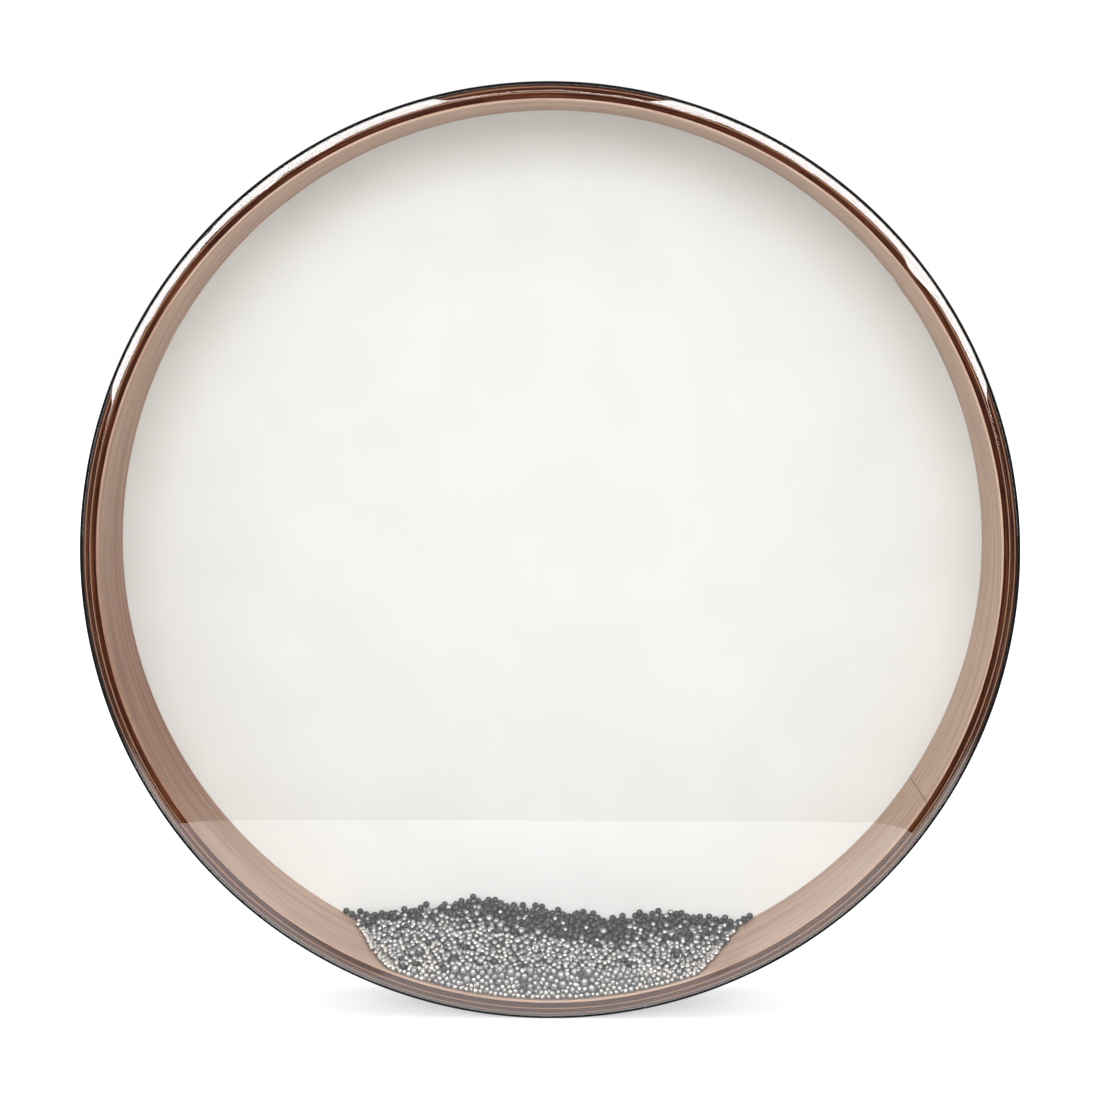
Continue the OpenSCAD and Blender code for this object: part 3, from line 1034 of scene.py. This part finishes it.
def table_surface(studio):
    """White laminate table, overlit. It is matt, with the drum's soft shadow on it. The clear head mirrors
    it as a veil, which is bright over the shell and dimmer over the coated head and the beads, where a
    painted shade dims the table for reflections only."""
    material, tree = new_material("White laminate table")
    matt = add(tree, "ShaderNodeBsdfDiffuse", {}, {"Color": colour(linear("#e9e9e9"))})
    path = add(tree, "ShaderNodeLightPath")
    lift = mathed(tree, "MULTIPLY", path.outputs["Is Camera Ray"], studio.table_lift)
    glow = add(tree, "ShaderNodeEmission", {}, {"Color": (1, 1, 1, 1), "Strength": lift})
    shown = add(tree, "ShaderNodeAddShader", {}, {0: matt.outputs[0], 1: glow.outputs[0]})
    place = add(tree, "ShaderNodeTexCoord").outputs["Object"]
    parts = add(tree, "ShaderNodeSeparateXYZ", {}, {0: place}).outputs
    aside = mathed(tree, "ABSOLUTE", mathed(tree, "SUBTRACT", parts["X"], VEIL.middle))
    slanted = mathed(tree, "MULTIPLY_ADD", parts["Y"], VEIL.slant, aside)
    between = remap(tree, slanted, *VEIL.sides, 1.0, 0.0)
    before = remap(tree, parts["Y"], *VEIL.rear, 1.0, 0.0)
    # Painted shade: the table is dimmed for reflections where the clear head mirrors it over the beads
    dim = mathed(tree, "MULTIPLY", between, before)
    level = remap(tree, dim, 0.0, 1.0, studio.mirrored_table, studio.dimmed_table)
    near = within(tree, parts["X"], -VEIL.half_width, VEIL.half_width, VEIL.fade)
    middle = remap(tree, near, 0.0, 1.0, VEIL.faint, 1.0)
    mirrored = add(tree, "ShaderNodeEmission", {}, {"Strength": mathed(tree, "MULTIPLY", level, middle)})
    both = add(
        tree, "ShaderNodeMixShader", {},
        {0: mirrored_ray(tree, path), 1: shown.outputs[0], 2: mirrored.outputs[0]},
    )
    add(tree, "ShaderNodeOutputMaterial", {}, {"Surface": both.outputs[0]})
    return material


def studio_world(studio):
    """White for the camera. Reflections see white behind the drum and dark behind the camera, but for a grey
    ring round its axis there. A dim fill comes from all round."""
    ring, ring_soft, ring_level = (-0.88, -0.7), 0.05, 0.45
    dark_end, white_start, dark_level = -0.5, 0.1, 0.03
    world = bpy.data.worlds.new("Studio")
    world.use_nodes = True
    tree = world.node_tree
    tree.nodes.clear()
    way = add(tree, "ShaderNodeTexCoord").outputs["Generated"]
    towards = add(tree, "ShaderNodeSeparateXYZ", {}, {0: way}).outputs["Y"]
    path = add(tree, "ShaderNodeLightPath")
    grey = within(tree, towards, *ring, ring_soft)
    walls = remap(tree, towards, dark_end, white_start, dark_level, 1.0)
    room = mathed(tree, "MULTIPLY_ADD", grey, ring_level, walls)
    mirrored = mathed(tree, "MULTIPLY", mirrored_ray(tree, path), room)
    soft = mathed(tree, "MULTIPLY_ADD", path.outputs["Is Diffuse Ray"], studio.fill, mirrored)
    strength = mathed(tree, "ADD", path.outputs["Is Camera Ray"], soft)
    background = add(tree, "ShaderNodeBackground", {}, {"Color": (1, 1, 1, 1), "Strength": strength})
    add(tree, "ShaderNodeOutputWorld", {}, {"Surface": background.outputs[0]})
    return world


def softbox(name, level, distance, off_axis, turn, size):
    """A large soft lamp that faces the drum's middle. It hangs off the drum's front axis by one angle, and
    towards another in the picture plane."""
    outward = Vector((math.cos(turn), 0, math.sin(turn)))
    sideways = Vector((-math.sin(turn), 0, math.cos(turn)))
    back = (outward * math.sin(off_axis) + Vector((0, -math.cos(off_axis), 0))).normalized()
    lamp = bpy.data.lights.new(name, "AREA")
    lamp.shape = "RECTANGLE"
    lamp.size, lamp.size_y = size
    lamp.energy = level * size[0] * size[1] * math.pi
    holder = bpy.data.objects.new(name, lamp)
    axes = Matrix((sideways, back.cross(sideways), back)).transposed()
    holder.matrix_world = Matrix.Translation(back * distance) @ axes.to_4x4()
    holder.visible_camera = False
    bpy.context.scene.collection.objects.link(holder)
    return holder


class DRUM_OT_set_stage(Operator):
    """Sets the table, the lamps, the world and the camera"""

    bl_idname = "drum.set_stage"
    bl_label = "Set the stage"

    def execute(self, context):
        studio, scene = context.scene.drum_studio, context.scene
        level, front = CAD_BOX[0].z, studio.table_front
        half_width, depth = 5.0, 8.0
        corners = [(-half_width, front, level), (half_width, front, level),
                   (half_width, depth, level), (-half_width, depth, level)]
        mesh = bpy.data.meshes.new("table")
        mesh.from_pydata(corners, [], [(0, 1, 2, 3)])
        mesh.materials.append(table_surface(studio))
        table = bpy.data.objects.new("table", mesh)
        scene.collection.objects.link(table)
        mirrors = bpy.data.collections.new("Lit by the side softboxes")
        mirrors.objects.link(bpy.data.objects["clear_head"])
        for name, turn in (("left_softbox", 135), ("right_softbox", 45)):
            angles = studio.side_angle, math.radians(turn)
            side = softbox(name, studio.side_level, studio.side_distance, *angles, studio.side_size)
            side.visible_diffuse = False
            side.light_linking.receiver_collection = mirrors
        above = math.radians(90)
        for name, brightness, off_axis in (
            ("key_softbox", studio.key_level, studio.key_angle),
            ("back_softbox", studio.back_level, math.pi - studio.key_angle),
        ):
            softbox(name, brightness, studio.key_distance, off_axis, above, studio.key_size)
        scene.world = studio_world(studio)
        lens = bpy.data.cameras.new("camera")
        lens.lens = studio.lens
        camera = bpy.data.objects.new("camera", lens)
        camera.location = studio.camera_place
        camera.rotation_mode = "QUATERNION"
        camera.rotation_quaternion = (-Vector(studio.camera_place)).to_track_quat("-Z", "Y")
        scene.collection.objects.link(camera)
        scene.camera = camera
        scene.view_settings.view_transform = "Standard"
        return {"FINISHED"}


class DRUM_PT_workbench(Panel):
    """Lists what the drum is built from"""

    bl_label = "Ocean drum"
    bl_idname = "DRUM_PT_workbench"
    bl_space_type = "VIEW_3D"
    bl_region_type = "UI"
    bl_category = "Ocean drum"

    def draw(self, context):
        for settings in (context.scene.drum_shell, context.scene.drum_beads, context.scene.drum_studio):
            box = self.layout.box()
            for name in settings.__annotations__:
                box.prop(settings, name)
        for step in STEPS:
            self.layout.operator(step.bl_idname)


STEPS = (DRUM_OT_bend_plies, DRUM_OT_draw_heads, DRUM_OT_wrap_band, DRUM_OT_pour_beads, DRUM_OT_set_stage)
GROUPS = {"drum_shell": ShellSettings, "drum_beads": BeadSettings, "drum_studio": StudioSettings}


def register():
    for made in (*GROUPS.values(), *STEPS, DRUM_PT_workbench):
        bpy.utils.register_class(made)
    for name, group in GROUPS.items():
        setattr(bpy.types.Scene, name, PointerProperty(type=group))


def unregister():
    for name in GROUPS:
        delattr(bpy.types.Scene, name)
    for made in reversed((*GROUPS.values(), *STEPS, DRUM_PT_workbench)):
        bpy.utils.unregister_class(made)


def main():
    """Builds the dressed drum step by step."""
    register()
    for step in STEPS:
        group, action = step.bl_idname.split(".")
        getattr(getattr(bpy.ops, group), action)()


if __name__ == "__main__":
    main()
